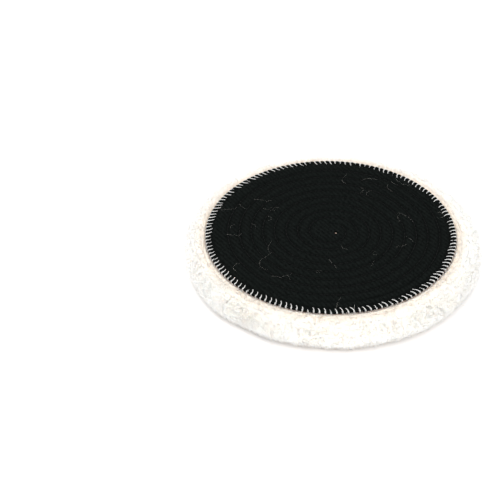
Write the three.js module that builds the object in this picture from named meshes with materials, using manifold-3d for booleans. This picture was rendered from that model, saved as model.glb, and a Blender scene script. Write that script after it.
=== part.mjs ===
// Lambswool polishing pad for a machine polisher, lying wool down with its loop backing up.
// Millimetres. The working face rests on z = 0 and the pad's axis is Z.
import * as THREE from 'three';
import { mergeVertices } from 'three/addons/utils/BufferGeometryUtils.js';
import Module from 'manifold-3d';

const wasm = await Module();
wasm.setup();

// Driving sizes.
const BACKING_DIAMETER = 150; // fits a 150 mm hook-faced backing plate
const WOOL_OVERHANG = 15; // how far the fleece stands out past the backing
const PAD_HEIGHT = 18.5; // working face to loop face
const LOOP_THICKNESS = 1.8;
const FOAM_THICKNESS = 1.5;
const HIDE_THICKNESS = 1.2;
const CENTRE_HOLE_DIAMETER = 2.5;
const CENTRE_HOLE_X = 3; // punched a little off the centre
const CENTRE_HOLE_Y = -1.5;

// The fleece, outside the backing.
const WORKING_FACE_MARGIN = 12; // working face's flat part to the fleece's outermost line
const RIM_HEIGHT = 9.3; // where the fleece is widest
const RIM_CREST_DROP = 2.2; // top of the fleece below the loop face
const WELL_CLEARANCE = 2.2; // backing's edge to the fleece around it
const LAND_WIDTH = 1.8; // ring where hide and fleece meet outside the last seam turn

// Quilting seam: one spiral from the middle outwards, turning clockwise seen from above.
const SEAM_PITCH = 7;
const SEAM_START_RADIUS = 8;
const SEAM_START_ANGLE = 58; // degrees from +X
const SEAM_END_MARGIN = 9; // backing's edge to the seam's last turn
const SEAM_GROOVE_WIDTH = 1.4;
const SEAM_GROOVE_DEPTH = 1;
const SEAM_THREAD = 0.6;
const SEAM_STEPS_PER_TURN = 20;

// Overlocked edge.
const STITCH_COUNT = 144;
const BITE = 4.9; // how far in from the edge the stitches reach
const EDGE_PINCH = 0.9; // how far the bite is pressed below the loop face
const STITCH_LEAN = 2.45; // inner end of a stitch, clockwise of its outer end
const LOOPER_THREAD = 0.64;
const NEEDLE_THREAD = 0.4;
const UNDER_BITE = 2.6; // reach of the stitches under the hide
const NEEDLE_RING_STEPS = 72;

const THREAD_CLEARANCE = 0.05;
const RING_GAP = 0.7; // opening where the edging's needle thread starts and ends
const ROUND_SEGMENTS = 72;
const HOLE_SEGMENTS = 24;
const RIM_DIVISIONS = 6;

// Levels, from the floor up. The threads under the hide lie in a bed in the fleece.
const threadBed = Math.max(SEAM_THREAD, LOOPER_THREAD) + 2 * THREAD_CLEARANCE;
const loopTop = PAD_HEIGHT;
const loopBottom = loopTop - LOOP_THICKNESS;
const foamBottom = loopBottom - FOAM_THICKNESS;
const hideBottom = foamBottom - HIDE_THICKNESS;
const bedFloor = hideBottom - threadBed;
const bedMiddle = hideBottom - threadBed / 2;
const grooveFloor = loopTop - SEAM_GROOVE_DEPTH;
const ledgeTop = loopTop - EDGE_PINCH;

// Radii.
const backingRadius = BACKING_DIAMETER / 2;
const woolRadius = backingRadius + WOOL_OVERHANG;
const holeRadius = CENTRE_HOLE_DIAMETER / 2;
const ledgeRadius = backingRadius - BITE;
const wellRadius = backingRadius + WELL_CLEARANCE;
const seamEndRadius = backingRadius - SEAM_END_MARGIN;
const stitchOuterRadius = backingRadius + LOOPER_THREAD;
const needleRadius = ledgeRadius + NEEDLE_THREAD / 2 + THREAD_CLEARANCE * 2;
const stitchInnerRadius = needleRadius + NEEDLE_THREAD / 2 + LOOPER_THREAD / 2 + THREAD_CLEARANCE;

// A path whose stations keep to its own parameter, so that its corners stay where they are put.
class Route extends THREE.Curve {
  constructor(pointAt) {
    super();
    this.pointAt = pointAt;
  }

  getPoint(t) {
    return this.pointAt(t);
  }

  getPointAt(t) {
    return this.pointAt(t);
  }

  getTangentAt(t) {
    return this.getTangent(t);
  }

  getSpacedPoints(divisions) {
    return this.getPoints(divisions);
  }
}

function polar(radius, angle, z) {
  return new THREE.Vector3(radius * Math.cos(angle), radius * Math.sin(angle), z);
}

// Straight runs from corner to corner.
function cornerRoute(corners) {
  const last = corners.length - 1;
  return new Route((t) => {
    const place = Math.min(Math.max(t, 0), 1) * last;
    const index = Math.min(Math.floor(place), last - 1);
    return corners[index].clone().lerp(corners[index + 1], place - index);
  });
}

const seamTurns = (seamEndRadius - SEAM_START_RADIUS) / SEAM_PITCH;
const seamSteps = Math.round(seamTurns * SEAM_STEPS_PER_TURN);

// The quilting seam's spiral at one level.
function seamRoute(z) {
  return new Route((t) => {
    const radius = SEAM_START_RADIUS + (seamEndRadius - SEAM_START_RADIUS) * t;
    const angle = THREE.MathUtils.degToRad(SEAM_START_ANGLE) - 2 * Math.PI * seamTurns * t;
    return polar(radius, angle, z);
  });
}

function roundSection(diameter, sides) {
  const points = [];
  for (let i = 0; i < sides; i += 1) {
    const angle = (2 * Math.PI * (i + 0.5)) / sides;
    points.push(new THREE.Vector2(Math.cos(angle), Math.sin(angle)).multiplyScalar(diameter / 2));
  }
  return new THREE.Shape(points);
}

// height runs along Z and width lies level when the path is level.
function barSection(height, width) {
  return new THREE.Shape([
    new THREE.Vector2(-height / 2, -width / 2),
    new THREE.Vector2(height / 2, -width / 2),
    new THREE.Vector2(height / 2, width / 2),
    new THREE.Vector2(-height / 2, width / 2),
  ]);
}

function sweep(section, route, steps) {
  return new THREE.ExtrudeGeometry(section, { steps, bevelEnabled: false, extrudePath: route });
}

// A LatheGeometry turns about Y, so it is stood up to turn about Z.
function turned(profile) {
  const geometry = new THREE.LatheGeometry(profile, ROUND_SEGMENTS);
  geometry.rotateX(Math.PI / 2);
  return geometry;
}

function profileOf(pairs) {
  return pairs.map(([radius, z]) => new THREE.Vector2(radius, z));
}

function toManifold(geometry) {
  const bare = geometry.clone();
  bare.deleteAttribute('normal');
  bare.deleteAttribute('uv');
  const merged = mergeVertices(bare, 1e-4);
  const mesh = new wasm.Mesh({
    numProp: 3,
    vertProperties: new Float32Array(merged.attributes.position.array),
    triVerts: new Uint32Array(merged.index.array),
  });
  return new wasm.Manifold(mesh);
}

function fromManifold(solid) {
  const mesh = solid.getMesh();
  const geometry = new THREE.BufferGeometry();
  geometry.setAttribute('position', new THREE.BufferAttribute(mesh.vertProperties, 3));
  geometry.setIndex(new THREE.BufferAttribute(mesh.triVerts, 1));
  geometry.computeVertexNormals();
  return geometry;
}

// Fleece: flat working face, full round edge and a well that the backing sits in.
function woolGeometry() {
  const faceRadius = woolRadius - WORKING_FACE_MARGIN;
  const crestRise = loopTop - RIM_CREST_DROP - RIM_HEIGHT;
  const quarter = Math.PI / 2;
  const lower = new THREE.EllipseCurve(
    faceRadius, RIM_HEIGHT, WORKING_FACE_MARGIN, RIM_HEIGHT, -quarter, 0,
  );
  const upper = new THREE.EllipseCurve(
    wellRadius, RIM_HEIGHT, woolRadius - wellRadius, crestRise, 0, quarter,
  );
  const landInner = seamEndRadius + SEAM_THREAD;
  const landOuter = landInner + LAND_WIDTH;
  const hubRadius = SEAM_START_RADIUS - 2 * SEAM_THREAD;
  return turned([
    new THREE.Vector2(0, 0),
    ...lower.getPoints(RIM_DIVISIONS),
    ...upper.getPoints(RIM_DIVISIONS).slice(1),
    ...profileOf([
      [wellRadius, bedFloor],
      [landOuter, bedFloor],
      [landOuter, hideBottom],
      [landInner, hideBottom],
      [landInner, bedFloor],
      [hubRadius, bedFloor],
      [hubRadius, hideBottom],
      [0, hideBottom],
    ]),
  ]);
}

function hideGeometry() {
  return turned(profileOf([
    [0, hideBottom],
    [backingRadius, hideBottom],
    [backingRadius, foamBottom],
    [0, foamBottom],
  ]));
}

// A punch through the loop fabric and the foam, longer than both.
function holePunch() {
  const reach = 2 * (loopTop - foamBottom);
  const punch = new THREE.CylinderGeometry(holeRadius, holeRadius, reach, HOLE_SEGMENTS);
  punch.rotateX(Math.PI / 2);
  punch.translate(CENTRE_HOLE_X, CENTRE_HOLE_Y, loopBottom);
  return toManifold(punch);
}

function foamGeometry() {
  const foam = turned(profileOf([
    [0, foamBottom],
    [backingRadius, foamBottom],
    [backingRadius, loopBottom],
    [0, loopBottom],
  ]));
  return fromManifold(toManifold(foam).subtract(holePunch()));
}

// Loop fabric: flat face, edge pressed down under the overlock, and the seam's groove cut in.
function loopGeometry() {
  const fabric = turned(profileOf([
    [0, loopBottom],
    [backingRadius, loopBottom],
    [backingRadius, ledgeTop],
    [ledgeRadius, ledgeTop],
    [ledgeRadius, loopTop],
    [0, loopTop],
  ]));
  const cutter = sweep(
    barSection(2 * SEAM_GROOVE_DEPTH, SEAM_GROOVE_WIDTH),
    seamRoute(grooveFloor + SEAM_GROOVE_DEPTH),
    seamSteps,
  );
  return fromManifold(toManifold(fabric).subtract(toManifold(cutter)).subtract(holePunch()));
}

function needleSeamGeometry() {
  const level = grooveFloor + THREAD_CLEARANCE + SEAM_THREAD / 2;
  return sweep(roundSection(SEAM_THREAD, 4), seamRoute(level), seamSteps);
}

function bobbinSeamGeometry() {
  return sweep(roundSection(SEAM_THREAD, 4), seamRoute(bedMiddle), seamSteps);
}

// Corners of the white thread that is laid to and fro over the pressed edge.
function upperLooperGeometry() {
  const pitch = (2 * Math.PI) / STITCH_COUNT;
  const lean = STITCH_LEAN / backingRadius;
  const halfTurn = pitch / 5;
  const level = ledgeTop + THREAD_CLEARANCE + LOOPER_THREAD / 2;
  const corners = [];
  for (let i = 0; i < STITCH_COUNT; i += 1) {
    const outer = (i + 0.5) * pitch;
    const inner = outer - pitch / 2 - lean;
    corners.push(polar(stitchInnerRadius, inner - halfTurn, level));
    corners.push(polar(stitchInnerRadius, inner + halfTurn, level));
    corners.push(polar(stitchOuterRadius, outer - halfTurn, level));
    corners.push(polar(stitchOuterRadius, outer + halfTurn, level));
  }
  return sweep(roundSection(LOOPER_THREAD, 3), cornerRoute(corners), corners.length - 1);
}

// The white thread that zigzags under the hide and locks the upper one.
function lowerLooperGeometry() {
  const pitch = (2 * Math.PI) / STITCH_COUNT;
  const corners = [];
  for (let i = 0; i < STITCH_COUNT; i += 1) {
    corners.push(polar(stitchOuterRadius - UNDER_BITE, i * pitch, bedMiddle));
    corners.push(polar(stitchOuterRadius, (i + 0.5) * pitch, bedMiddle));
  }
  return sweep(roundSection(LOOPER_THREAD, 3), cornerRoute(corners), corners.length - 1);
}

// The needle's thread that holds the inner ends of the edging, open where the seam starts.
function edgingNeedleGeometry() {
  const level = ledgeTop + THREAD_CLEARANCE + NEEDLE_THREAD / 2;
  const sweepAngle = 2 * Math.PI - RING_GAP / needleRadius;
  const ring = new Route((t) => polar(needleRadius, sweepAngle * t, level));
  return sweep(roundSection(NEEDLE_THREAD, 4), ring, NEEDLE_RING_STEPS);
}

function part(name, geometry, color, roughness) {
  const material = new THREE.MeshStandardMaterial({ color, roughness, metalness: 0 });
  const mesh = new THREE.Mesh(geometry, material);
  mesh.name = name;
  return mesh;
}

const pad = new THREE.Group();
pad.add(
  part('wool_pile', woolGeometry(), '#f8f1e6', 0.95),
  part('sheepskin_hide', hideGeometry(), '#cfa68e', 0.75),
  part('foam_interlining', foamGeometry(), '#4a4a4c', 0.9),
  part('loop_backing', loopGeometry(), '#1a1c1b', 0.95),
  part('spiral_needle_thread', needleSeamGeometry(), '#101211', 0.7),
  part('spiral_bobbin_thread', bobbinSeamGeometry(), '#101211', 0.7),
  part('edging_upper_looper_thread', upperLooperGeometry(), '#f4f2ee', 0.7),
  part('edging_lower_looper_thread', lowerLooperGeometry(), '#f4f2ee', 0.7),
  part('edging_needle_thread', edgingNeedleGeometry(), '#f4f2ee', 0.7),
);

export default pad;
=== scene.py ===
"""Lambswool polishing pad: the visual model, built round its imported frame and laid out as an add-on."""
import math
import random

import bmesh
import bpy
from bpy.props import FloatProperty, FloatVectorProperty, IntProperty, PointerProperty
from mathutils import Matrix, Vector, noise


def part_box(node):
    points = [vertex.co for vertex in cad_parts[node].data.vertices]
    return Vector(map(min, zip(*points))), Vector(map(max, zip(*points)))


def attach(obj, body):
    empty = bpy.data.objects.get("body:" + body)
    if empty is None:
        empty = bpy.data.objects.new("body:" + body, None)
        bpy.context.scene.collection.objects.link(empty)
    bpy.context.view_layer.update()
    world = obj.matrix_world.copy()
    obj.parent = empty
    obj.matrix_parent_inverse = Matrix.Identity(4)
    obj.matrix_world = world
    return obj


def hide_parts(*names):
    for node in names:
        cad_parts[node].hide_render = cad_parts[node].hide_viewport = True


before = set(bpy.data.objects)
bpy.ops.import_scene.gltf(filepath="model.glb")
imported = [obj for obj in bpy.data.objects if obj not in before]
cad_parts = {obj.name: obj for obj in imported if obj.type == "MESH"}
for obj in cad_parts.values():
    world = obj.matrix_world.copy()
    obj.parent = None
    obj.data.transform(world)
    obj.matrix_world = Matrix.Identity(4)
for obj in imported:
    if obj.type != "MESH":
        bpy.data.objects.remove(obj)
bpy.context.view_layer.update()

bl_info = {
    "name": "Lambswool Polishing Pad",
    "version": (1, 0, 0),
    "blender": (4, 5, 0),
    "location": "View3D > Sidebar > Pad",
    "description": "Builds a lambswool polishing pad with its loop backing, seams and overlocked edge",
    "category": "Object",
}

MM = 0.001
WOOL_LOW, WOOL_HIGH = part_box("wool_pile")
HIDE_LOW, HIDE_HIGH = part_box("sheepskin_hide")
FOAM_LOW, FOAM_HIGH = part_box("foam_interlining")
LOOP_LOW, LOOP_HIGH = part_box("loop_backing")

WOOL_RADIUS = WOOL_HIGH.x
BACKING_RADIUS = LOOP_HIGH.x
LOOP_TOP = LOOP_HIGH.z
HIDE_MIDDLE = (HIDE_LOW.z + HIDE_HIGH.z) / 2
EDGE_ROUND = 0.65 * MM  # radius at which the fabric turns over the edge
SEED = 7  # every random draw starts from this


def linear(hex_colour):
    """An sRGB hex colour as linear red, green and blue."""
    parts = [int(hex_colour[i : i + 2], 16) / 255 for i in (1, 3, 5)]
    return tuple(c / 12.92 if c <= 0.04045 else ((c + 0.055) / 1.055) ** 2.4 for c in parts)


def length(name, description, millimetres, low=0.0, high=1000.0):
    """A length property, given in millimetres and kept in metres."""
    return FloatProperty(
        name=name,
        description=description,
        default=millimetres * MM,
        min=low * MM,
        max=high * MM,
        precision=5,
        unit="LENGTH",
    )


def angle(name, description, degrees):
    """An angle property, given in degrees and kept in radians."""
    return FloatProperty(
        name=name, description=description, default=math.radians(degrees), subtype="ANGLE"
    )


def colour(name, description, hex_colour):
    """A colour property, given as sRGB hex and kept linear."""
    return FloatVectorProperty(
        name=name,
        description=description,
        default=linear(hex_colour),
        min=0.0,
        max=1.0,
        subtype="COLOR",
    )


# ---------------------------------------------------------------- settings


class PadFleeceSettings(bpy.types.PropertyGroup):
    """The clipped lambswool and the skin it grows from."""

    face_margin: length("Face margin", "Flat working face to the fleece's widest line", 9.5)
    widest_height: length("Widest height", "Height at which the fleece is widest", 8)
    lip_gap: length("Lip gap", "Backing's edge to the fleece's inner lip", 0.45)
    lip_drop: length("Lip drop", "Loop face to the solid fleece beside the backing", 2.4)
    lip_round: length("Lip round", "Radius of the fleece's inner lip", 0.8)
    trim_shift: length("Trim shift", "How far off centre the fleece is trimmed", 1.6)
    trim_bearing: angle("Trim bearing", "Side on which the fleece stands out furthest", -38)
    nap: length("Nap", "Depth of the separate tips over the solid fleece", 1.1)
    cell: length("Cell", "Spacing of the fleece mesh", 0.8, 0.4, 4)
    clump: length("Clump", "Width of a lock of wool", 4.5)
    swell: length("Swell", "Unevenness of the clipped surface", 1.0)
    tip_length: length("Tip length", "Length of a free wool tip", 2.3)
    tip_count: IntProperty(
        name="Tips", description="Free wool tips over the whole fleece", default=44000, min=0
    )
    stray_count: IntProperty(
        name="Stray fibres", description="Long curled fibres that stand out", default=700, min=0
    )
    wool: colour("Wool", "Clipped tips", "#ede9df")
    # This colour is also used for painted shade: in the crevice beside the backing and as contact shade low on
    # the rim.
    wool_root_and_shade: colour("Wool root", "Deep wool, beside the hide", "#dbc3a8")
    hide: colour("Hide", "Tanned skin", "#c9aa9a")


class PadBackingSettings(bpy.types.PropertyGroup):
    """The loop fabric, the foam under it and the quilting seam."""

    rib_spacing: length("Rib spacing", "Distance between two ribs of the knit", 2.46)
    rib_angle: angle("Rib angle", "Direction across the ribs, from +X", 35)
    rib_height: length("Rib height", "Height of a rib of the knit", 0.16)
    hole: length("Hole", "Diameter of the centring hole", 2.5)
    hole_x: length("Hole X", "Where the hole is punched, along X", 3)
    hole_y: length("Hole Y", "Where the hole is punched, along Y", -1.5, -1000)
    seam_pitch: length("Seam pitch", "Distance between two turns of the seam", 7)
    seam_start: length("Seam start", "Radius at which the seam starts", 8)
    seam_start_angle: angle("Seam start angle", "Where the seam starts, from +X", 58)
    seam_end_margin: length("Seam end margin", "Backing's edge to the seam's end", 9)
    seam_depth: length("Seam depth", "How far the seam pulls the fabric down", 0.75)
    stitch: length("Stitch", "Length of one quilting stitch", 3.3)
    thread: length("Thread", "Diameter of the quilting thread", 0.42)
    loop_height: length("Loop height", "Height of a loop of the nap", 0.62)
    fabric: colour("Fabric", "Black loop knit", "#0e1110")
    seam_thread: colour("Seam thread", "Black sewing thread", "#070808")
    foam: colour("Foam", "Soft interlining foam", "#4a4a4c")


class PadEdgingSettings(bpy.types.PropertyGroup):
    """The white overlock stitching round the backing."""

    count: IntProperty(name="Stitches", description="Stitches in one turn", default=144, min=8)
    bite: length("Bite", "How far in from the edge the stitches reach", 4.9)
    lean: length("Lean", "Inner end of a stitch, clockwise of its outer end", 2.45)
    pinch: length("Pinch", "How far the stitches press the edge down", 0.9)
    thread: length("Thread", "Diameter of the overlock thread", 0.45)
    sink: length("Sink", "How deep the pile swallows some of the stitches", 0.5)
    scallop: length("Scallop", "How far the fabric bulges between stitches", 0.42)
    white: colour("White", "White sewing thread", "#d9d8d6")


class PadStageSettings(bpy.types.PropertyGroup):
    """Camera, lights and floor."""

    focal: FloatProperty(name="Lens", description="Focal length in mm", default=108.0, min=1)
    distance: length("Distance", "Lens to the middle of the loop face", 901, 1, 10000)
    elevation: angle("Elevation", "Camera's angle above the floor", 37.9)
    roll: angle("Roll", "Camera's turn about its own line of sight", -0.847)
    pad_right: angle("Pad to the right", "Pad's middle, right of the line of sight", 3.07)
    pad_up: angle("Pad up", "Pad's middle, above the line of sight", 0.7)
    key_power: FloatProperty(name="Key", description="Overhead light in W", default=8.5, min=0)
    fill_power: FloatProperty(name="Fill", description="Front light in W", default=13.0, min=0)
    sky: FloatProperty(name="Sky", description="Brightness of the surroundings", default=1.3, min=0)
    floor: colour("Floor", "White paper sweep", "#ebebec")


# ---------------------------------------------------------------- materials


def add_node(tree, kind, values=None, links=None, **settings):
    """One node, with plain values and links given by input name."""
    node = tree.nodes.new(kind)
    for name, value in settings.items():
        setattr(node, name, value)
    for name, value in (values or {}).items():
        node.inputs[name].default_value = value
    for name, source in (links or {}).items():
        tree.links.new(source, node.inputs[name])
    return node


def new_material(name, values):
    """A material with one Principled shader, its tree and that shader."""
    material = bpy.data.materials.new(name)
    material.use_nodes = True
    tree = material.node_tree
    tree.nodes.clear()
    shader = add_node(tree, "ShaderNodeBsdfPrincipled", values)
    add_node(tree, "ShaderNodeOutputMaterial", links={"Surface": shader.outputs["BSDF"]})
    return material, tree, shader


def noise_of(tree, place, size, detail=2.0, roughness=0.5):
    """Noise with features of about this size in metres."""
    return add_node(
        tree,
        "ShaderNodeTexNoise",
        {"Scale": 1 / size, "Detail": detail, "Roughness": roughness},
        {"Vector": place},
    ).outputs["Fac"]


def steps_of(tree, factor, low, high, start=0.0, end=1.0):
    """The factor's stretch from low to high, spread over start to end and held beyond."""
    return add_node(
        tree,
        "ShaderNodeMapRange",
        {"From Min": low, "From Max": high, "To Min": start, "To Max": end},
        {"Value": factor},
    ).outputs["Result"]


def blend_of(tree, factor, first, second):
    """A colour mix; each colour is a linear triple or an output."""
    node = add_node(tree, "ShaderNodeMix", links={"Factor": factor}, data_type="RGBA")
    for socket, value in ((node.inputs[6], first), (node.inputs[7], second)):
        if isinstance(value, bpy.types.NodeSocket):
            tree.links.new(value, socket)
        else:
            socket.default_value = (*value, 1)
    return node.outputs[2]


def lambswool_material(settings):
    """Clipped lambswool: matt, translucent keratin, cream at the tips and warmer towards the skin, partly its
    own colour and partly painted shade beside the backing, with painted contact shade low on its rim.
    """
    material, tree, shader = new_material(
        "clipped_lambswool",
        {
            "Roughness": 0.95,
            "IOR": 1.55,
            "Specular IOR Level": 0.15,
            "Subsurface Weight": 1.0,
            "Subsurface Radius": (1.0, 0.85, 0.7),
            "Subsurface Scale": 4.5 * MM,
            "Sheen Weight": 0.25,
            "Sheen Roughness": 0.5,
        },
    )
    place = add_node(tree, "ShaderNodeTexCoord").outputs["Object"]
    parts = add_node(tree, "ShaderNodeSeparateXYZ", links={"Vector": place})
    flat = add_node(tree, "ShaderNodeCombineXYZ", links={a: parts.outputs[a] for a in "XY"})
    radius = add_node(
        tree, "ShaderNodeVectorMath", links={0: flat.outputs[0]}, operation="LENGTH"
    ).outputs["Value"]
    # The wool is warm where it leaves the skin, in the first 8 mm out from the backing: partly the roots' own
    # warmer colour, partly painted shade from the crevice beside the backing's edge.
    near = steps_of(tree, radius, BACKING_RADIUS, BACKING_RADIUS + 8 * MM, 1.0, 0.0)
    high = steps_of(tree, parts.outputs["Z"], HIDE_LOW.z - 3 * MM, HIDE_LOW.z - 1 * MM)
    skin = add_node(
        tree, "ShaderNodeMath", links={0: near, 1: high}, operation="MULTIPLY"
    ).outputs[0]
    patches = steps_of(tree, noise_of(tree, place, 22 * MM, 3), 0.4, 0.7, 0.0, 0.12)
    locks = steps_of(tree, noise_of(tree, place, 2.5 * MM, 2), 0.35, 0.75, 0.0, 0.08)
    warmth = add_node(tree, "ShaderNodeMath", links={0: patches, 1: locks}, operation="ADD")
    tips = blend_of(tree, warmth.outputs[0], settings.wool, settings.wool_root_and_shade)
    # Painted shade: the wool is warm again low on its outer rim, a painted contact shade where it meets the
    # floor.
    low = steps_of(tree, parts.outputs["Z"], 1 * MM, 3.5 * MM, 0.8, 0.0)
    outer = steps_of(tree, radius, WOOL_RADIUS - 8 * MM, WOOL_RADIUS - 5 * MM)
    under = add_node(
        tree, "ShaderNodeMath", links={0: low, 1: outer}, operation="MULTIPLY"
    ).outputs[0]
    rim_contact_shaded = blend_of(tree, under, tips, settings.wool_root_and_shade)
    root_and_crevice_shaded = blend_of(tree, skin, rim_contact_shaded, settings.wool_root_and_shade)
    tree.links.new(root_and_crevice_shaded, shader.inputs["Base Color"])
    # Single fibres are 0.03 mm thick; the bump shows them as strands 0.35 mm wide.
    strands = noise_of(tree, place, 0.35 * MM, 2, 0.6)
    bump = add_node(
        tree, "ShaderNodeBump", {"Strength": 0.2, "Distance": 0.12 * MM}, {"Height": strands}
    )
    tree.links.new(bump.outputs["Normal"], shader.inputs["Normal"])
    return material


def hide_material(settings):
    """Tanned sheepskin, flesh side: matt suede with a fine grain and uneven pinkish brown dye."""
    material, tree, shader = new_material(
        "tanned_sheepskin",
        {
            "Roughness": 0.8,
            "IOR": 1.5,
            "Specular IOR Level": 0.3,
            "Subsurface Weight": 0.1,
            "Subsurface Radius": (1.0, 0.4, 0.25),
            "Subsurface Scale": 1.0 * MM,
        },
    )
    place = add_node(tree, "ShaderNodeTexCoord").outputs["Object"]
    dye = steps_of(tree, noise_of(tree, place, 6 * MM, 3), 0.35, 0.7)
    tone = blend_of(tree, dye, settings.hide, tuple(c * 0.72 for c in settings.hide))
    tree.links.new(tone, shader.inputs["Base Color"])
    grain = noise_of(tree, place, 0.4 * MM, 3, 0.6)
    bump = add_node(
        tree, "ShaderNodeBump", {"Strength": 0.5, "Distance": 0.1 * MM}, {"Height": grain}
    )
    tree.links.new(bump.outputs["Normal"], shader.inputs["Normal"])
    return material


def foam_material(settings):
    """Open-cell polyurethane foam: matt, with cells about half a millimetre wide whose hollow middles carry
    painted shade.
    """
    material, tree, shader = new_material(
        "open_cell_foam", {"Roughness": 0.95, "IOR": 1.5, "Specular IOR Level": 0.2}
    )
    place = add_node(tree, "ShaderNodeTexCoord").outputs["Object"]
    cells = add_node(
        tree, "ShaderNodeTexVoronoi", {"Scale": 1 / (0.55 * MM)}, {"Vector": place}
    ).outputs["Distance"]
    # Painted shade: the cells' hollow middles are darker than their walls.
    walls = steps_of(tree, cells, 0.1, 0.6)
    tone = blend_of(tree, walls, tuple(c * 0.5 for c in settings.foam), settings.foam)
    tree.links.new(tone, shader.inputs["Base Color"])
    bump = add_node(
        tree, "ShaderNodeBump", {"Strength": 0.8, "Distance": 0.2 * MM}, {"Height": cells}
    )
    tree.links.new(bump.outputs["Normal"], shader.inputs["Normal"])
    return material


def loop_knit_material(settings):
    """Black polyester loop knit: very dark, matt, with a soft nap that lightens in patches, painted light and
    shade across its ribs and painted shade where the seam and the edging pull it down.
    """
    material, tree, shader = new_material(
        "black_loop_knit",
        {
            "Roughness": 0.95,
            "IOR": 1.5,
            "Specular IOR Level": 0.02,
        },
    )
    place = add_node(tree, "ShaderNodeTexCoord").outputs["Object"]
    turned = add_node(
        tree,
        "ShaderNodeMapping",
        {"Rotation": (0.0, 0.0, -settings.rib_angle)},
        {"Vector": place},
    ).outputs["Vector"]
    # The knit's courses run across its ribs, 1.1 mm apart.
    ribs = add_node(
        tree,
        "ShaderNodeTexWave",
        {"Scale": 0.05 * math.tau / settings.rib_spacing, "Distortion": 1.2, "Detail": 1.0},
        {"Vector": turned},
        bands_direction="X",
    ).outputs["Fac"]
    nap = noise_of(tree, place, 0.8 * MM, 3, 0.65)
    wear = steps_of(tree, noise_of(tree, place, 14 * MM, 3), 0.35, 0.75)
    # Painted light and shade: the ribs are painted lighter on their crests and darker in their hollows.
    light = tuple(min(1.0, c * 2.0) for c in settings.fabric)
    dark = tuple(c * 0.5 for c in settings.fabric)
    lit = steps_of(tree, ribs, 0.2, 0.9, 0.0, 0.4)
    base = blend_of(tree, lit, dark, light)
    fluffed = blend_of(tree, steps_of(tree, nap, 0.45, 0.75, 0.0, 0.6), base, light)
    worn = blend_of(tree, steps_of(tree, wear, 0.0, 1.0, 0.0, 0.3), fluffed, settings.fabric)
    # Painted shade: where the seam and the edging pull the pile down into grooves, the fabric is darkened.
    height = add_node(tree, "ShaderNodeSeparateXYZ", links={"Vector": place}).outputs["Z"]
    groove_shade = steps_of(tree, height, LOOP_TOP - 0.7 * MM, LOOP_TOP - 0.15 * MM, 0.9, 0.0)
    shaded = blend_of(tree, groove_shade, worn, dark)
    tree.links.new(shaded, shader.inputs["Base Color"])
    bump = add_node(
        tree, "ShaderNodeBump", {"Strength": 0.6, "Distance": 0.25 * MM}, {"Height": nap}
    )
    tree.links.new(bump.outputs["Normal"], shader.inputs["Normal"])
    return material


def thread_material(name, tint, shade):
    """Twisted polyester sewing thread: slightly glossy filaments with painted shade in the hollows between
    them.
    """
    material, tree, shader = new_material(
        name, {"Roughness": 0.7, "IOR": 1.55, "Specular IOR Level": 0.1}
    )
    place = add_node(tree, "ShaderNodeTexCoord").outputs["Object"]
    filaments = noise_of(tree, place, 0.25 * MM, 2, 0.6)
    hollows = steps_of(tree, filaments, 0.35, 0.6, 0.0, 1.0)
    tone = blend_of(tree, hollows, tuple(c * shade for c in tint), tint)
    tree.links.new(tone, shader.inputs["Base Color"])
    bump = add_node(
        tree, "ShaderNodeBump", {"Strength": 0.4, "Distance": 0.08 * MM}, {"Height": filaments}
    )
    tree.links.new(bump.outputs["Normal"], shader.inputs["Normal"])
    return material


def shed_fibre_material(settings):
    """A single shed wool fibre: it lets most of the light through, so it looks grey on black."""
    material, tree, shader = new_material("shed_wool_fibre", {"Roughness": 0.7, "IOR": 1.55})
    place = add_node(tree, "ShaderNodeTexCoord").outputs["Object"]
    lengths = steps_of(tree, noise_of(tree, place, 3 * MM, 1), 0.35, 0.65)
    thin = tuple(c * 0.25 for c in settings.wool)
    tone = blend_of(tree, lengths, thin, tuple(c * 0.45 for c in settings.wool))
    tree.links.new(tone, shader.inputs["Base Color"])
    return material


def floor_material(settings):
    """White paper sweep: matt, with a trace of mottle."""
    material, tree, shader = new_material("white_paper", {"Roughness": 0.9, "IOR": 1.5})
    place = add_node(tree, "ShaderNodeTexCoord").outputs["Object"]
    mottle = steps_of(tree, noise_of(tree, place, 60 * MM, 2), 0.3, 0.7, 0.0, 0.2)
    tone = blend_of(tree, mottle, settings.floor, tuple(c * 0.99 for c in settings.floor))
    tree.links.new(tone, shader.inputs["Base Color"])
    return material


# ---------------------------------------------------------------- shared shapes


def kept(name, maker, *choices):
    """The material of this name, made once."""
    return bpy.data.materials.get(name) or maker(*choices)


def fixed_on_pad(name, mesh, material, slot, *nodes):
    """Makes a piece of a finished mesh, in place, riding on the pad."""
    piece = bpy.data.objects.new(name, mesh)
    bpy.context.collection.objects.link(piece)
    mesh.materials.clear()
    mesh.materials.append(material)
    mesh.polygons.foreach_set("use_smooth", [True] * len(mesh.polygons))
    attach(piece, "root")
    if nodes:
        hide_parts(*nodes)
    return piece


def mesh_of(bm, name):
    """Turns a finished bmesh into a mesh and frees it."""
    mesh = bpy.data.meshes.new(name)
    bm.to_mesh(mesh)
    bm.free()
    return mesh


def turned_solid(outline, steps, closed=False):
    """Spins an outline of (radius, height) points about the pad's axis."""
    bm = bmesh.new()
    verts = [bm.verts.new((radius, 0, height)) for radius, height in outline]
    pairs = list(zip(verts, verts[1:]))
    if closed:
        pairs.append((verts[-1], verts[0]))
    edges = [bm.edges.new(pair) for pair in pairs]
    bmesh.ops.spin(
        bm,
        geom=verts + edges,
        cent=(0, 0, 0),
        axis=(0, 0, 1),
        angle=math.tau,
        steps=steps,
        use_merge=True,
    )
    bmesh.ops.remove_doubles(bm, verts=bm.verts, dist=1e-6)
    bmesh.ops.recalc_face_normals(bm, faces=bm.faces)
    return bm


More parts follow.
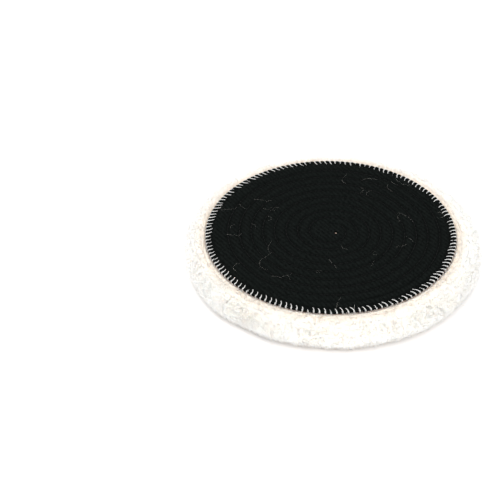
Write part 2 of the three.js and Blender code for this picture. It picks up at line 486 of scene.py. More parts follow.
def arc(centre_r, centre_z, radius_r, radius_z, first, last, count):
    """Points on a quarter or so of an ellipse, angles in degrees from straight out."""
    angles = [math.radians(first + (last - first) * i / count) for i in range(count + 1)]
    return [(centre_r + radius_r * math.cos(a), centre_z + radius_z * math.sin(a)) for a in angles]


def smooth_step(value, low, high):
    """0 below low and 1 above high, with a smooth rise."""
    t = min(max((value - low) / (high - low), 0.0), 1.0)
    return t * t * (3 - 2 * t)


def tubes(name, paths, diameter, sides):
    """One mesh of round strands, a closed one along each path."""
    curve = bpy.data.curves.new(name, "CURVE")
    curve.dimensions = "3D"
    curve.bevel_depth = diameter / 2
    curve.bevel_resolution = (sides - 4) // 2
    curve.use_fill_caps = True
    for path in paths:
        spline = curve.splines.new("POLY")
        spline.points.add(len(path) - 1)
        spline.points.foreach_set("co", [c for point in path for c in (*point, 1.0)])
    holder = bpy.data.objects.new(name, curve)
    bpy.context.collection.objects.link(holder)
    mesh = bpy.data.meshes.new_from_object(holder.evaluated_get(
        bpy.context.evaluated_depsgraph_get()))
    bpy.data.objects.remove(holder)
    bpy.data.curves.remove(curve)
    bm = bmesh.new()
    bm.from_mesh(mesh)
    bpy.data.meshes.remove(mesh)
    bmesh.ops.remove_doubles(bm, verts=bm.verts, dist=1e-7)
    bmesh.ops.recalc_face_normals(bm, faces=bm.faces)
    return mesh_of(bm, name)


def twisted(path, spread, pitch, phase):
    """One ply of a twisted thread: a path that winds round the given one."""
    wound = []
    travelled = 0.0
    for i, point in enumerate(path):
        along = (path[min(i + 1, len(path) - 1)] - path[max(i - 1, 0)]).normalized()
        side = along.cross(Vector((0.12, 0.07, 1.0))).normalized()
        up = side.cross(along)
        if i:
            travelled += (point - path[i - 1]).length
        turn = math.tau * travelled / pitch + phase
        wound.append(point + spread * (math.cos(turn) * side + math.sin(turn) * up))
    return wound


def resampled(path, count):
    """The same route with this many evenly spaced points."""
    lengths = [(b - a).length for a, b in zip(path, path[1:])]
    total = sum(lengths)
    points = []
    index = 0
    passed = 0.0
    for i in range(count):
        target = total * i / (count - 1)
        while index < len(lengths) - 1 and passed + lengths[index] < target:
            passed += lengths[index]
            index += 1
        share = (target - passed) / max(lengths[index], 1e-9)
        points.append(path[index].lerp(path[index + 1], min(share, 1.0)))
    return points


# ---------------------------------------------------------------- fleece


def fleece_outline(fleece):
    """The fleece's section under its loose tips: face, round edge, crest and inner lip."""
    nap = fleece.nap
    face = WOOL_RADIUS - fleece.face_margin
    lip = BACKING_RADIUS + fleece.lip_gap
    widest = fleece.widest_height
    shoulder = lip + fleece.lip_round
    top = LOOP_TOP - fleece.lip_drop
    lower = arc(face, widest, fleece.face_margin - nap, widest - nap, -90, 0, 24)
    upper = arc(shoulder, widest, WOOL_RADIUS - nap - shoulder, top - widest, 0, 90, 24)
    inner = arc(shoulder, top - fleece.lip_round, fleece.lip_round, fleece.lip_round, 90, 180, 6)
    return [(0, nap), *lower, *upper[1:], *inner[1:], (lip, HIDE_LOW.z), (0, HIDE_LOW.z)]


def even_mesh(bm, cell):
    """The same closed shape with an even mesh of this spacing."""
    holder = bpy.data.objects.new("fleece_shape", mesh_of(bm, "fleece_shape"))
    bpy.context.collection.objects.link(holder)
    remesh = holder.modifiers.new("even", "REMESH")
    remesh.mode = "VOXEL"
    remesh.voxel_size = cell
    mesh = bpy.data.meshes.new_from_object(
        holder.evaluated_get(bpy.context.evaluated_depsgraph_get())
    )
    bpy.data.objects.remove(holder)
    even = bmesh.new()
    even.from_mesh(mesh)
    bpy.data.meshes.remove(mesh)
    return even


def under_backing(point, margin):
    """True where the hide covers the fleece, at least margin in from its edge."""
    inside = math.hypot(point.x, point.y) < BACKING_RADIUS - margin
    return inside and point.z > HIDE_LOW.z - 1 * MM


def simple_back(bm):
    """Leaves one flat face where the hide lies on the fleece."""
    hidden = [f for f in bm.faces if under_backing(f.calc_center_median(), 2 * MM)]
    bmesh.ops.delete(bm, geom=hidden, context="FACES")
    rim = [e for e in bm.edges if e.is_boundary]
    for vert in {v for e in rim for v in e.verts}:
        vert.co.z = HIDE_LOW.z
    bmesh.ops.holes_fill(bm, edges=rim, sides=0)


def lock_depth(point, clump):
    """How deep the clipped surface dips here, from 0 on a lock to 1 in a parting."""
    near, _ = noise.voronoi(point / clump)
    return 1.0 - smooth_step(near[1] - near[0], 0.0, 0.35)


def trimmed_off_centre(bm, fleece):
    """Shifts the fleece's outer part a little to one side, as if cut out off centre."""
    side = Vector((math.cos(fleece.trim_bearing), math.sin(fleece.trim_bearing), 0))
    for vert in bm.verts:
        out = smooth_step(math.hypot(vert.co.x, vert.co.y), BACKING_RADIUS, WOOL_RADIUS)
        vert.co += side * fleece.trim_shift * out


def uneven(bm, fleece):
    """Swells the surface and parts it into locks, with a few longer creases."""
    bm.normal_update()
    moves = []
    for vert in bm.verts:
        place = vert.co
        if under_backing(place, -0.5 * MM):
            moves.append(Vector())
            continue
        swell = noise.noise(place / (19 * MM)) + 0.45 * noise.noise(place / (7 * MM))
        grain = noise.noise(place / (1.7 * MM))
        lock = lock_depth(place, fleece.clump) * 0.45 + lock_depth(place + place, fleece.clump) * 0.3
        crease = 1 - smooth_step(abs(noise.noise(place / (38 * MM) + Vector((4, 9, 2)))), 0.0, 0.03)
        beside = smooth_step(math.hypot(place.x, place.y), BACKING_RADIUS, BACKING_RADIUS + 6 * MM)
        rise = fleece.swell * swell * beside + 0.22 * MM * grain
        rise -= (0.32 * MM * lock + 0.3 * MM * crease) * (0.3 + 0.7 * beside)
        jitter = noise.noise_vector(place / (0.9 * MM)) * fleece.cell * 0.3
        moves.append(vert.normal * rise + jitter)
    for vert, move in zip(bm.verts, moves):
        vert.co += move
        vert.co.z = max(vert.co.z, 0.15 * MM)


def pointed(bm, fleece):
    """Draws every small face out into a leaning tuft tip."""
    bm.normal_update()
    small = [f for f in bm.faces if len(f.verts) <= 4]
    raised = bmesh.ops.poke(bm, faces=small, offset=0, center_mode="MEAN")["verts"]
    bm.normal_update()
    chance = random.Random(SEED)
    for vert in raised:
        if under_backing(vert.co, 0.0):
            continue
        lean = noise.noise_vector(vert.co / (5 * MM)) * 0.7
        tall = (0.55 + 0.7 * chance.random()) * fleece.nap * 0.8
        vert.co += (vert.normal + lean).normalized() * tall
        vert.co.z = max(vert.co.z, 0.02 * MM)


def fibre_template(bend, rings):
    """One wool tip along +Z, one unit long, three-sided, thinning to a point and bent."""
    bm = bmesh.new()
    bmesh.ops.create_cone(
        bm, cap_ends=True, segments=3, radius1=0.5, radius2=0.0, depth=1, matrix=Matrix.Translation((0, 0, 0.5))
    )
    bmesh.ops.remove_doubles(bm, verts=bm.verts, dist=1e-5)
    sides = [e for e in bm.edges if abs(e.verts[0].co.z - e.verts[1].co.z) > 0.5]
    bmesh.ops.subdivide_edges(bm, edges=sides, cuts=rings)
    for vert in bm.verts:
        height = vert.co.z
        fuller = 1.0 if height < 1e-6 or height > 0.999 else (1 - height**2.2) / (1 - height)
        vert.co.x *= fuller
        vert.co.y *= fuller
        vert.co.x += bend * height * height * 8
    return mesh_of(bm, "fibre")


def grown(bm, template, root, direction, spin, thick, long):
    """Adds one copy of the template, growing from root."""
    fibre = template.copy()
    aim = direction.to_track_quat("Z", "Y").to_matrix().to_4x4()
    size = Matrix.Diagonal((thick, thick, long, 1))
    fibre.transform(Matrix.Translation(root) @ aim @ Matrix.Rotation(spin, 4, "Z") @ size)
    bm.from_mesh(fibre)
    bpy.data.meshes.remove(fibre)


def fleece_roots(mesh, count, chance):
    """Random places and normals on the fleece's open surface, spread evenly."""
    faces = [
        p for p in mesh.polygons if p.area < 4 * MM * MM and not under_backing(p.center, -0.3 * MM)
    ]
    places = []
    for _ in range(count):
        face = faces[int(chance.random() * len(faces))]
        shift = Vector((chance.random() - 0.5, chance.random() - 0.5, chance.random() - 0.5))
        places.append((face.center + shift * 0.5 * MM, face.normal.copy()))
    return places


def tip_batches(mesh, fleece, batches):
    """The free tips, shared out over a few meshes that together cover the fleece."""
    chance = random.Random(SEED + 1)
    templates = [fibre_template(bend, 2) for bend in (0.1, 0.22, 0.35, 0.5)]
    meshes = []
    for number in range(batches):
        bm = bmesh.new()
        for root, normal in fleece_roots(mesh, fleece.tip_count // batches, chance):
            lean = noise.noise_vector(root / (6 * MM)) * 0.75
            loose = Vector((chance.random() - 0.5, chance.random() - 0.5, chance.random() - 0.5))
            direction = (normal + lean + loose * 0.6).normalized()
            long = fleece.tip_length * (0.55 + 0.6 * chance.random())
            room = max(root.z - 0.05 * MM, 0.1 * MM)
            if direction.z < 0:
                long = min(long, room / -direction.z)
            thick = (0.3 + 0.14 * chance.random()) * MM
            template = templates[int(chance.random() * len(templates))]
            base = root - direction * 0.3 * MM
            base.z = max(base.z, 0.2 * MM)
            grown(bm, template, base, direction, chance.random() * math.tau, thick, long)
        for vert in bm.verts:
            vert.co.z = max(vert.co.z, 0.02 * MM)
        meshes.append(mesh_of(bm, f"fleece_tips_{number + 1}"))
    for template in templates:
        bpy.data.meshes.remove(template)
    return meshes


def curled_path(start, heading, normal, long, curl, steps, chance):
    """A fibre's wandering route: it starts along heading and curls about normal."""
    path = [start.copy()]
    direction = heading.normalized()
    bend = (chance.random() - 0.5) * 2 * curl
    for _ in range(steps):
        bend += (chance.random() - 0.5) * curl
        direction = (Matrix.Rotation(bend / steps, 3, normal) @ direction).normalized()
        path.append(path[-1] + direction * long / steps)
    return path


def stray_fibres(mesh, fleece):
    """Long curled fibres that missed the shears, standing out from the fleece."""
    chance = random.Random(SEED + 2)
    paths = []
    for root, normal in fleece_roots(mesh, fleece.stray_count, chance):
        if root.z < 3 * MM:
            continue
        side = noise.noise_vector(root / (3 * MM)).normalized()
        heading = (normal + side * 0.9).normalized()
        long = (3.2 + 3.6 * chance.random()) * MM
        path = curled_path(root, heading, side, long, 5.0, 7, chance)
        for point in path:
            point.z = max(point.z, 0.1 * MM)
        paths.append(path)
    return tubes("fleece_stray_fibres", paths, 0.09 * MM, 4)


class PAD_OT_fleece(bpy.types.Operator):
    """Builds the fleece, its free tips and its stray fibres"""

    bl_idname = "pad.fleece"
    bl_label = "Fleece"

    def execute(self, context):
        fleece = context.scene.pad_fleece
        wool = kept("clipped_lambswool", lambswool_material, fleece)
        bm = even_mesh(turned_solid(fleece_outline(fleece), 128), fleece.cell)
        simple_back(bm)
        trimmed_off_centre(bm, fleece)
        uneven(bm, fleece)
        surface = mesh_of(bm.copy(), "fleece_surface")
        pointed(bm, fleece)
        body = fixed_on_pad("fleece", mesh_of(bm, "fleece"), wool, "lambswool", "wool_pile")
        for tips in tip_batches(surface, fleece, 4):
            fixed_on_pad(tips.name, tips, wool, "lambswool")
        strays = stray_fibres(surface, fleece)
        fixed_on_pad(strays.name, strays, wool, "lambswool")
        bpy.data.meshes.remove(surface)
        return {"FINISHED"}


# ---------------------------------------------------------------- hide and foam


def punched(bm, backing):
    """Moves the middle of a layer to where the hole is punched, the rest less and less."""
    shift = Vector((backing.hole_x, backing.hole_y, 0))
    for vert in bm.verts:
        radius = math.hypot(vert.co.x, vert.co.y)
        vert.co += shift * (1 - smooth_step(radius, backing.hole, backing.hole + 7 * MM))


def from_hole(backing, place):
    """Distance from a point to the hole's middle, seen from above."""
    return math.hypot(place.x - backing.hole_x, place.y - backing.hole_y)


def hide_solid(backing):
    """The skin: a thin round whose edge shows past the fabric and whose middle fills the hole."""
    edge = BACKING_RADIUS + 0.35 * MM
    bead = HIDE_HIGH.z + 0.6 * MM
    hole = backing.hole / 2
    crown = LOOP_TOP - 0.1 * MM
    outline = [
        (0, crown),
        (hole * 0.45, crown - 0.15 * MM),
        (hole * 0.75, crown - 0.7 * MM),
        (hole * 1.0, HIDE_HIGH.z),
        (hole * 6, HIDE_HIGH.z),
        (edge * 0.5, HIDE_HIGH.z),
        (edge - 2 * MM, HIDE_HIGH.z),
        *arc(edge - 0.9 * MM, HIDE_MIDDLE, 0.9 * MM, bead - HIDE_MIDDLE, 90, 0, 6),
        *arc(edge - 0.9 * MM, HIDE_MIDDLE, 0.9 * MM, HIDE_MIDDLE - HIDE_LOW.z, 0, -90, 4)[1:],
        (edge - 2 * MM, HIDE_LOW.z),
        (edge * 0.5, HIDE_LOW.z),
        (0, HIDE_LOW.z),
    ]
    bm = turned_solid(outline, 288)
    punched(bm, backing)
    # What shows in the hole stands against its near side.
    for vert in bm.verts:
        if from_hole(backing, vert.co) < 2 * hole:
            vert.co.y -= 1.0 * MM * smooth_step(vert.co.z, HIDE_HIGH.z, LOOP_LOW.z)
        out = Vector((vert.co.x, vert.co.y, 0))
        if out.length > edge - 3 * MM:
            vert.co += out.normalized() * 0.35 * MM * noise.noise(vert.co / (4 * MM))
    return bm


def foam_solid(backing, edging):
    """The interlining: a foam round, pressed thin under the overlocked edge."""
    hole = backing.hole / 2
    full = FOAM_HIGH.z - 0.05 * MM
    pressed = FOAM_HIGH.z - 0.55 * MM
    inner = BACKING_RADIUS - edging.bite
    outer = BACKING_RADIUS - 1.4 * MM
    outline = [
        (hole, FOAM_LOW.z),
        (inner * 0.5, FOAM_LOW.z),
        (outer, FOAM_LOW.z),
        (outer, pressed),
        (inner + 1.5 * MM, pressed),
        (inner - 1.5 * MM, full),
        (inner * 0.5, full),
        (hole, full),
    ]
    bm = turned_solid(outline, 192, closed=True)
    punched(bm, backing)
    return bm


class PAD_OT_hide_and_foam(bpy.types.Operator):
    """Builds the skin and the foam between it and the fabric"""

    bl_idname = "pad.hide_and_foam"
    bl_label = "Hide and foam"

    def execute(self, context):
        scene = context.scene
        leather = kept("tanned_sheepskin", hide_material, scene.pad_fleece)
        foam = kept("open_cell_foam", foam_material, scene.pad_backing)
        skin = mesh_of(hide_solid(scene.pad_backing), "hide")
        fixed_on_pad("hide", skin, leather, "hide", "sheepskin_hide")
        layer = mesh_of(foam_solid(scene.pad_backing, scene.pad_edging), "foam")
        piece = fixed_on_pad("foam", layer, foam, "foam", "foam_interlining")
        return {"FINISHED"}


# ---------------------------------------------------------------- loop fabric


def seam_turn(backing, radius, bearing):
    """Distance in turns, from -0.5 to 0.5, between a point and the nearest turn of the seam."""
    turned = (backing.seam_start_angle - bearing) / math.tau
    phase = (radius - backing.seam_start) / backing.seam_pitch - turned
    return phase - round(phase)


def seam_dip(backing, radius, bearing):
    """How far the seam pulls the fabric down here, from 0 to 1."""
    end = BACKING_RADIUS - backing.seam_end_margin
    within = smooth_step(radius, backing.seam_start - 2 * MM, backing.seam_start + 1 * MM)
    within *= 1 - smooth_step(radius, end, end + 2.5 * MM)
    off = abs(seam_turn(backing, radius, bearing)) * 2
    return within * (1 - math.sin(off * math.pi / 2) ** 0.7)


def wrap_drift(edging, radius):
    """How far clockwise a stitch has drifted at this radius, as a length along the edge."""
    inward = min(max((BACKING_RADIUS - radius) / edging.bite, 0.0), 1.15)
    return edging.lean * inward * inward


def off_wrap(edging, radius, bearing):
    """Distance along the edge from a point to the nearest stitch, as a share of their pitch."""
    drifted = bearing + wrap_drift(edging, radius) / radius
    phase = drifted * edging.count / math.tau
    return abs(phase - round(phase)) * 2


def rib_wave(backing, x, y):
    """The knit's rib at a point, from -1 to 1."""
    across = x * math.cos(backing.rib_angle) + y * math.sin(backing.rib_angle)
    wander = 0.35 * noise.noise(Vector((x, y, 0)) / (9 * MM))
    return math.cos(math.tau * across / backing.rib_spacing + wander)


def fabric_height(backing, edging, x, y):
    """Height of the fabric's face at a point."""
    radius = math.hypot(x, y)
    bearing = math.atan2(y, x)
    inner = BACKING_RADIUS - edging.bite
    pressed = smooth_step(radius, inner - 1.2 * MM, inner + 1.8 * MM)
    height = LOOP_TOP - edging.pinch * pressed
    height -= backing.seam_depth * seam_dip(backing, radius, bearing)
    height += backing.rib_height * (rib_wave(backing, x, y) - 1) / 2 * (1 - 0.6 * pressed)
    height += 0.1 * MM * noise.noise(Vector((x, y, 0)) / (1.9 * MM))
    # Between two stitches the fabric stands up again.
    free = off_wrap(edging, radius, bearing)
    height += pressed * edging.scallop * (smooth_step(free, 0.1, 0.9) - 0.45)
    return height


def fabric_solid(backing, edging):
    """The loop fabric, turned down over the edge and shaped by its seam and stitches."""
    hole = backing.hole / 2
    turn = BACKING_RADIUS - EDGE_ROUND
    edge_middle = LOOP_TOP - edging.pinch - EDGE_ROUND
    rings = round((turn - hole) / (0.66 * MM))
    top = [(hole + (turn - hole) * i / rings, LOOP_TOP) for i in range(rings + 1)]
    edge = arc(turn, edge_middle, EDGE_ROUND, EDGE_ROUND, 90, -80, 8)
    tucked = [
        (turn - 0.9 * MM, edge_middle - EDGE_ROUND * 0.95),
        (turn - 1.6 * MM, edge_middle - EDGE_ROUND * 0.95),
        (BACKING_RADIUS - edging.bite, LOOP_LOW.z),
        (BACKING_RADIUS * 0.5, LOOP_LOW.z),
        (hole, LOOP_LOW.z),
    ]
    bm = turned_solid([*top, *edge[1:], *tucked], edging.count * 4, closed=True)
    punched(bm, backing)
    for vert in bm.verts:
        x, y, z = vert.co
        radius = math.hypot(x, y)
        if abs(z - LOOP_TOP) < 1e-6:
            vert.co.z = fabric_height(backing, edging, x, y)
        elif radius > turn - 1e-6 and z > edge_middle - 0.8 * EDGE_ROUND:
            bulge = smooth_step(off_wrap(edging, radius, math.atan2(y, x)), 0.1, 0.9) - 0.4
            lift = max(z - edge_middle, 0) / EDGE_ROUND
            vert.co += Vector((x, y, 0)) / radius * bulge * edging.scallop * 0.45
            vert.co.z += bulge * edging.scallop * lift
    fray_hole(bm, backing)
    return bm


def fray_hole(bm, backing):
    """Makes the punched hole a little ragged."""
    for vert in bm.verts:
        if from_hole(backing, vert.co) < backing.hole * 0.95:
            vert.co += noise.noise_vector(vert.co / (0.9 * MM)) * 0.16 * MM


def loop_template():
    """One loop of the nap: a three-sided strand in a small arch, one unit wide and high."""
    arch = [Vector((0.5 * math.cos(a), 0.0, math.sin(a))) for a in (math.pi * i / 5 for i in range(6))]
    bm = bmesh.new()
    ring = bmesh.ops.create_circle(bm, cap_ends=True, segments=3, radius=0.13)["verts"]
    face = bm.faces[:][0]
    bmesh.ops.translate(bm, verts=ring, vec=arch[0] - Vector((0, 0, 0.25)))
    for i, point in enumerate(arch[1:], 1):
        before = face.calc_center_median()
        turned = bmesh.ops.extrude_face_region(bm, geom=[face])
        bmesh.ops.delete(bm, geom=[face], context="FACES_ONLY")
        face = next(g for g in turned["geom"] if isinstance(g, bmesh.types.BMFace))
        swing = Matrix.Rotation(-math.pi / 5 if i > 1 else -math.pi / 10, 3, "Y")
        bmesh.ops.rotate(bm, verts=face.verts, cent=before, matrix=swing)
        bmesh.ops.translate(bm, verts=face.verts, vec=point - before)
    bmesh.ops.recalc_face_normals(bm, faces=bm.faces)
    return mesh_of(bm, "loop")


def loop_places(backing, edging, chance):
    """Where the nap's loops stand: in rows along the ribs, clear of the hole and the edging."""
    across = Vector((math.cos(backing.rib_angle), math.sin(backing.rib_angle)))
    along = Vector((-across.y, across.x))
    row_gap = backing.rib_spacing / 2
    loop_gap = 2.1 * MM
    reach = BACKING_RADIUS - edging.bite * 0.75
    rows = math.ceil(reach / row_gap)
    places = []
    for row in range(-rows, rows + 1):
        for step in range(-math.ceil(reach / loop_gap), math.ceil(reach / loop_gap) + 1):
            shift = Vector((chance.random() - 0.5, chance.random() - 0.5))
            spot = across * (row + shift.x * 0.5) * row_gap
            spot += along * (step + shift.y * 0.9 + 0.5 * (row % 2)) * loop_gap
            if from_hole(backing, spot) > backing.hole * 0.7 and spot.length < reach:
                places.append((spot, row % 2))
    return places


def nap_mesh(backing, edging):
    """All the nap's loops as one mesh."""
    chance = random.Random(SEED + 3)
    template = loop_template()
    bm = bmesh.new()
    for spot, valley in loop_places(backing, edging, chance):
        height = backing.loop_height * (0.7 + 0.6 * chance.random()) * (0.75 if valley else 1.0)
        wide = (0.9 + 0.5 * chance.random()) * MM
        base = Vector((*spot, fabric_height(backing, edging, spot.x, spot.y) - 0.06 * MM))
        bearing = backing.rib_angle + math.pi / 2 + (chance.random() - 0.5) * 1.3
        tilt = (chance.random() - 0.5) * 1.4
        place = Matrix.Translation(base) @ Matrix.Rotation(bearing, 4, "Z")
        place = place @ Matrix.Rotation(tilt, 4, "X") @ Matrix.Diagonal((wide, wide, height, 1))
        loop = template.copy()
        loop.transform(place)
        bm.from_mesh(loop)
        bpy.data.meshes.remove(loop)
    bpy.data.meshes.remove(template)
    return mesh_of(bm, "fabric_nap")


class PAD_OT_loop_fabric(bpy.types.Operator):
    """Builds the loop fabric and its nap"""

    bl_idname = "pad.loop_fabric"
    bl_label = "Loop fabric"

    def execute(self, context):
        backing = context.scene.pad_backing
        edging = context.scene.pad_edging
        knit = kept("black_loop_knit", loop_knit_material, backing)
        cloth = mesh_of(fabric_solid(backing, edging), "loop_fabric")
        fabric = fixed_on_pad("loop_fabric", cloth, knit, "loop_fabric", "loop_backing")
        fixed_on_pad("fabric_nap", nap_mesh(backing, edging), knit, "loop_fabric")
        return {"FINISHED"}


# ---------------------------------------------------------------- threads


def seam_point(backing, turned):
    """A point of the quilting seam, after this angle from its start, seen from above."""
    radius = backing.seam_start + backing.seam_pitch * turned / math.tau
    bearing = backing.seam_start_angle - turned
    return Vector((radius * math.cos(bearing), radius * math.sin(bearing), 0)), radius


def seam_stitches(backing, height_at, dive):
    """Routes of the stitches along the seam, each diving into the cloth at both ends."""
    end = (BACKING_RADIUS - backing.seam_end_margin - backing.seam_start) / backing.seam_pitch
    end *= math.tau
    stitches = []
    turned = 0.0
    while turned < end:
        radius = seam_point(backing, turned)[1]
        long = backing.stitch * 0.92 / radius
        path = []
        for share in (0.0, 0.07, 0.25, 0.5, 0.75, 0.93, 1.0):
            point = seam_point(backing, turned + long * share)[0]
            sunk = (2 * share - 1) ** 6
            point.z = height_at(point) + dive * (sunk - 0.12)
            path.append(point)
        stitches.append(path)
        turned += backing.stitch / radius
    return stitches


class PAD_OT_quilting_seam(bpy.types.Operator):
    """Builds the spiral seam's stitches, above the fabric and under the hide"""

    bl_idname = "pad.quilting_seam"
    bl_label = "Quilting seam"

    def execute(self, context):
        backing = context.scene.pad_backing
        black = kept("black_sewing_thread", thread_material, "black_sewing_thread",
                     backing.seam_thread, 0.5)
        groove = LOOP_TOP - backing.seam_depth + backing.thread * 0.3
        top = seam_stitches(backing, lambda point: groove, -0.5 * MM)
        mesh = tubes("quilting_stitches", top, backing.thread, 6)
        fixed_on_pad("quilting_stitches", mesh, black, "black_thread", "spiral_needle_thread")
        bed = HIDE_LOW.z - backing.thread * 0.6
        under = seam_stitches(backing, lambda point: bed, 0.2 * MM)
        mesh = tubes("bobbin_stitches", under, backing.thread, 6)
        fixed_on_pad("bobbin_stitches", mesh, black, "black_thread", "spiral_bobbin_thread")
        return {"FINISHED"}


def on_edge(edging, number, radius, height, extra=0.0):
    """A point over stitch number, with its drift at this radius."""
    bearing = math.tau * number / edging.count - (wrap_drift(edging, radius) + extra) / radius
    return Vector((radius * math.cos(bearing), radius * math.sin(bearing), height))


def wrap_path(edging, number, chance):
    """One overlock stitch, from its needle hole over the edge to the underside."""
    half = edging.thread / 2
    inner = BACKING_RADIUS - edging.bite * (1 - 0.45 * chance.random())
    turn = BACKING_RADIUS - EDGE_ROUND
    sunk = edging.sink * chance.random() ** 2
    ledge = LOOP_TOP - edging.pinch - edging.scallop * 0.45 + half * 0.8 - sunk
    middle = LOOP_TOP - edging.pinch - EDGE_ROUND
    wander = 0.8 * MM * (chance.random() - 0.5)
    path = [on_edge(edging, number, inner - 0.3 * MM, ledge - 0.7 * MM, wander)]
    for i in range(7):
        radius = inner + (turn - inner) * i / 6
        arch = math.sin(math.pi * i / 6) * 0.12 * MM
        path.append(on_edge(edging, number, radius, ledge + arch, wander * (1 - i / 6)))
    reach = EDGE_ROUND + half * 0.75
    for i in range(1, 6):
        a = math.radians(90 - 34 * i)
        radius = turn + reach * math.cos(a)
        path.append(on_edge(edging, number, radius, middle + reach * math.sin(a)))
    return path


def locking_path(edging, number):
    """The thinner leg that runs beside a stitch, over the edge and down its side."""
    half = edging.thread / 2
    turn = BACKING_RADIUS - EDGE_ROUND
    ledge = LOOP_TOP - edging.pinch - edging.scallop * 0.3 + half * 0.3
    middle = LOOP_TOP - edging.pinch - EDGE_ROUND
    beside = edging.thread
    path = []
    for i in range(3):
        radius = turn - (2 - i) * 0.6 * MM
        dive = 0.5 * MM if i == 0 else 0.0
        path.append(on_edge(edging, number, radius, ledge - dive, beside))
    reach = EDGE_ROUND + half * 0.5
    for i in range(1, 5):
        a = math.radians(90 - 30 * i)
        radius = turn + reach * math.cos(a)
        path.append(on_edge(edging, number, radius, middle + reach * math.sin(a), beside))
    return path


class PAD_OT_overlock_edging(bpy.types.Operator):
    """Builds the white stitches that bind the backing's edge"""

    bl_idname = "pad.overlock_edging"
    bl_label = "Overlock edging"

    def execute(self, context):
        edging = context.scene.pad_edging
        white = kept("white_sewing_thread", thread_material, "white_sewing_thread",
                     edging.white, 0.82)
        chance = random.Random(SEED + 4)
        ply = edging.thread * 0.52
        plies = []
        for number in range(edging.count):
            path = resampled(wrap_path(edging, number, chance), 16)
            start = chance.random() * math.tau
            for half_turn in (0.0, math.pi):
                plies.append(twisted(path, ply * 0.45, 2.2 * MM, start + half_turn))
        mesh = tubes("overlock_stitches", plies, ply, 6)
        fixed_on_pad("overlock_stitches", mesh, white, "white_thread", "edging_upper_looper_thread")
        legs = [locking_path(edging, n) for n in range(edging.count)]
        mesh = tubes("overlock_locking_legs", legs, ply * 0.8, 6)
        fixed_on_pad("overlock_locking_legs", mesh, white, "white_thread",
                     "edging_lower_looper_thread")
        runs = []
        inner = BACKING_RADIUS - edging.bite
        ledge = LOOP_TOP - edging.pinch * 0.75
        for number in range(edging.count):
            first = on_edge(edging, number, inner, ledge - 0.5 * MM)
            second = on_edge(edging, number + 0.5, inner, ledge)
            third = on_edge(edging, number + 0.94, inner, ledge - 0.5 * MM)
            runs.append(resampled([first, first.lerp(second, 0.2) + Vector((0, 0, 0.35 * MM)),
                                   second, third], 6))
        mesh = tubes("overlock_needle_run", runs, ply * 0.7, 6)
        black = kept("black_sewing_thread", thread_material, "black_sewing_thread",
                     context.scene.pad_backing.seam_thread, 0.5)
        fixed_on_pad("overlock_needle_run", mesh, black, "black_thread", "edging_needle_thread")
        return {"FINISHED"}


# ---------------------------------------------------------------- loose fibres


class PAD_OT_loose_fibres(bpy.types.Operator):
    """Scatters a few shed wool fibres on the fabric"""

    bl_idname = "pad.loose_fibres"
    bl_label = "Loose fibres"

    def execute(self, context):
        backing = context.scene.pad_backing
        edging = context.scene.pad_edging
        grey = kept("shed_wool_fibre", shed_fibre_material, context.scene.pad_fleece)
        chance = random.Random(SEED + 5)
        paths = []
        for _ in range(34):
            radius = BACKING_RADIUS * math.sqrt(0.06 + 0.8 * chance.random())
            bearing = chance.random() * math.tau
            start = Vector((radius * math.cos(bearing), radius * math.sin(bearing), 0))
            heading = Vector((chance.random() - 0.5, chance.random() - 0.5, 0))
            long = (5 + 9 * chance.random()) * MM
            path = curled_path(start, heading, Vector((0, 0, 1)), long, 2.2, 14, chance)
            for point in path:
                point.z = fabric_height(backing, edging, point.x, point.y) + 0.55 * MM
            paths.append([p for p in path if p.length < BACKING_RADIUS])
        mesh = tubes("loose_fibres", [p for p in paths if len(p) > 3], 0.03 * MM, 4)
        fixed_on_pad("loose_fibres", mesh, grey, "lambswool")
        return {"FINISHED"}


# ---------------------------------------------------------------- stage


def add_camera(context, stage):
    """The camera, aimed so that the pad stands right of the middle of the frame."""
    camera = bpy.data.objects.new("camera", bpy.data.cameras.new("camera"))
    context.collection.objects.link(camera)
    camera.data.lens = stage.focal
    camera.data.sensor_width = 36
    camera.data.clip_start = 0.01
    turn = Matrix.Rotation(math.pi / 2 - stage.elevation, 3, "X")
    turn = turn @ Matrix.Rotation(stage.roll, 3, "Z")
    aim = Vector((math.tan(stage.pad_right), math.tan(stage.pad_up), -1)).normalized()
    place = Vector((0, 0, LOOP_TOP - context.scene.pad_edging.pinch)) - turn @ aim * stage.distance
    camera.matrix_world = Matrix.Translation(place) @ turn.to_4x4()
    context.scene.camera = camera


def add_area_light(context, name, place, target, size, power, tint):
    """A large soft light, aimed at a point."""
    light = bpy.data.lights.new(name, "AREA")
    light.energy = power
    light.size = size
    light.color = tint
    holder = bpy.data.objects.new(name, light)
    context.collection.objects.link(holder)
    aim = (Vector(target) - Vector(place)).to_track_quat("-Z", "Y").to_matrix().to_4x4()
    holder.matrix_world = Matrix.Translation(place) @ aim


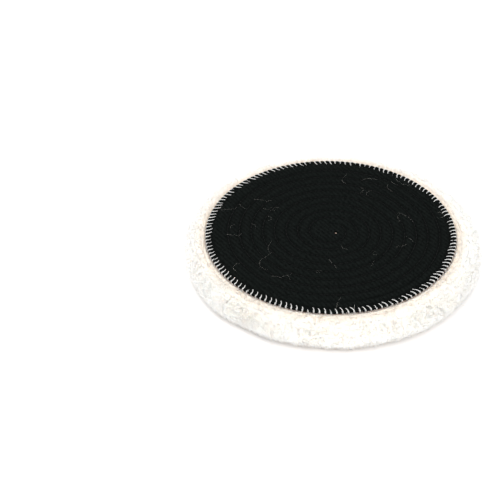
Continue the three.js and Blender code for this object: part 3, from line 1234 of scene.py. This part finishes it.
class PAD_OT_stage(bpy.types.Operator):
    """Sets up the camera, lights, surroundings and floor"""

    bl_idname = "pad.stage"
    bl_label = "Stage"

    def execute(self, context):
        scene = context.scene
        stage = scene.pad_stage
        add_camera(context, stage)
        middle = (0, 0, 0)
        add_area_light(context, "key", (-0.35, 0.45, 1.1), middle, 1.0, stage.key_power, (1, 1, 1))
        add_area_light(context, "fill", (0.15, -1.1, 0.6), middle, 1.2, stage.fill_power, (1, 1, 1))
        world = bpy.data.worlds.new("white_surroundings")
        world.use_nodes = True
        background = world.node_tree.nodes["Background"]
        background.inputs["Color"].default_value = (1, 1, 1, 1)
        background.inputs["Strength"].default_value = stage.sky
        scene.world = world
        scene.view_settings.view_transform = "Standard"
        bm = bmesh.new()
        bmesh.ops.create_grid(bm, x_segments=8, y_segments=8, size=6)
        floor = bpy.data.objects.new("floor", mesh_of(bm, "floor"))
        context.collection.objects.link(floor)
        floor.data.materials.append(floor_material(stage))
        return {"FINISHED"}


# ---------------------------------------------------------------- add-on


class PAD_PT_pad(bpy.types.Panel):
    """Lists the pad's steps"""

    bl_idname = "PAD_PT_pad"
    bl_label = "Polishing pad"
    bl_space_type = "VIEW_3D"
    bl_region_type = "UI"
    bl_category = "Pad"

    def draw(self, context):
        for operator in OPERATORS:
            self.layout.operator(operator.bl_idname)


OPERATORS = (
    PAD_OT_stage,
    PAD_OT_fleece,
    PAD_OT_hide_and_foam,
    PAD_OT_loop_fabric,
    PAD_OT_quilting_seam,
    PAD_OT_overlock_edging,
    PAD_OT_loose_fibres,
)
SETTINGS = {
    "pad_fleece": PadFleeceSettings,
    "pad_backing": PadBackingSettings,
    "pad_edging": PadEdgingSettings,
    "pad_stage": PadStageSettings,
}


def register():
    """Adds the settings, operators and panel."""
    for name, group in SETTINGS.items():
        bpy.utils.register_class(group)
        setattr(bpy.types.Scene, name, PointerProperty(type=group))
    for kind in (*OPERATORS, PAD_PT_pad):
        bpy.utils.register_class(kind)


def unregister():
    """Takes away what register added."""
    for kind in reversed((*OPERATORS, PAD_PT_pad)):
        bpy.utils.unregister_class(kind)
    for name, group in SETTINGS.items():
        delattr(bpy.types.Scene, name)
        bpy.utils.unregister_class(group)


def main():
    """Builds the pad and its stage."""
    register()
    bpy.ops.pad.stage()
    bpy.ops.pad.fleece()
    bpy.ops.pad.hide_and_foam()
    bpy.ops.pad.loop_fabric()
    bpy.ops.pad.quilting_seam()
    bpy.ops.pad.overlock_edging()
    bpy.ops.pad.loose_fibres()


if __name__ == "__main__":
    main()
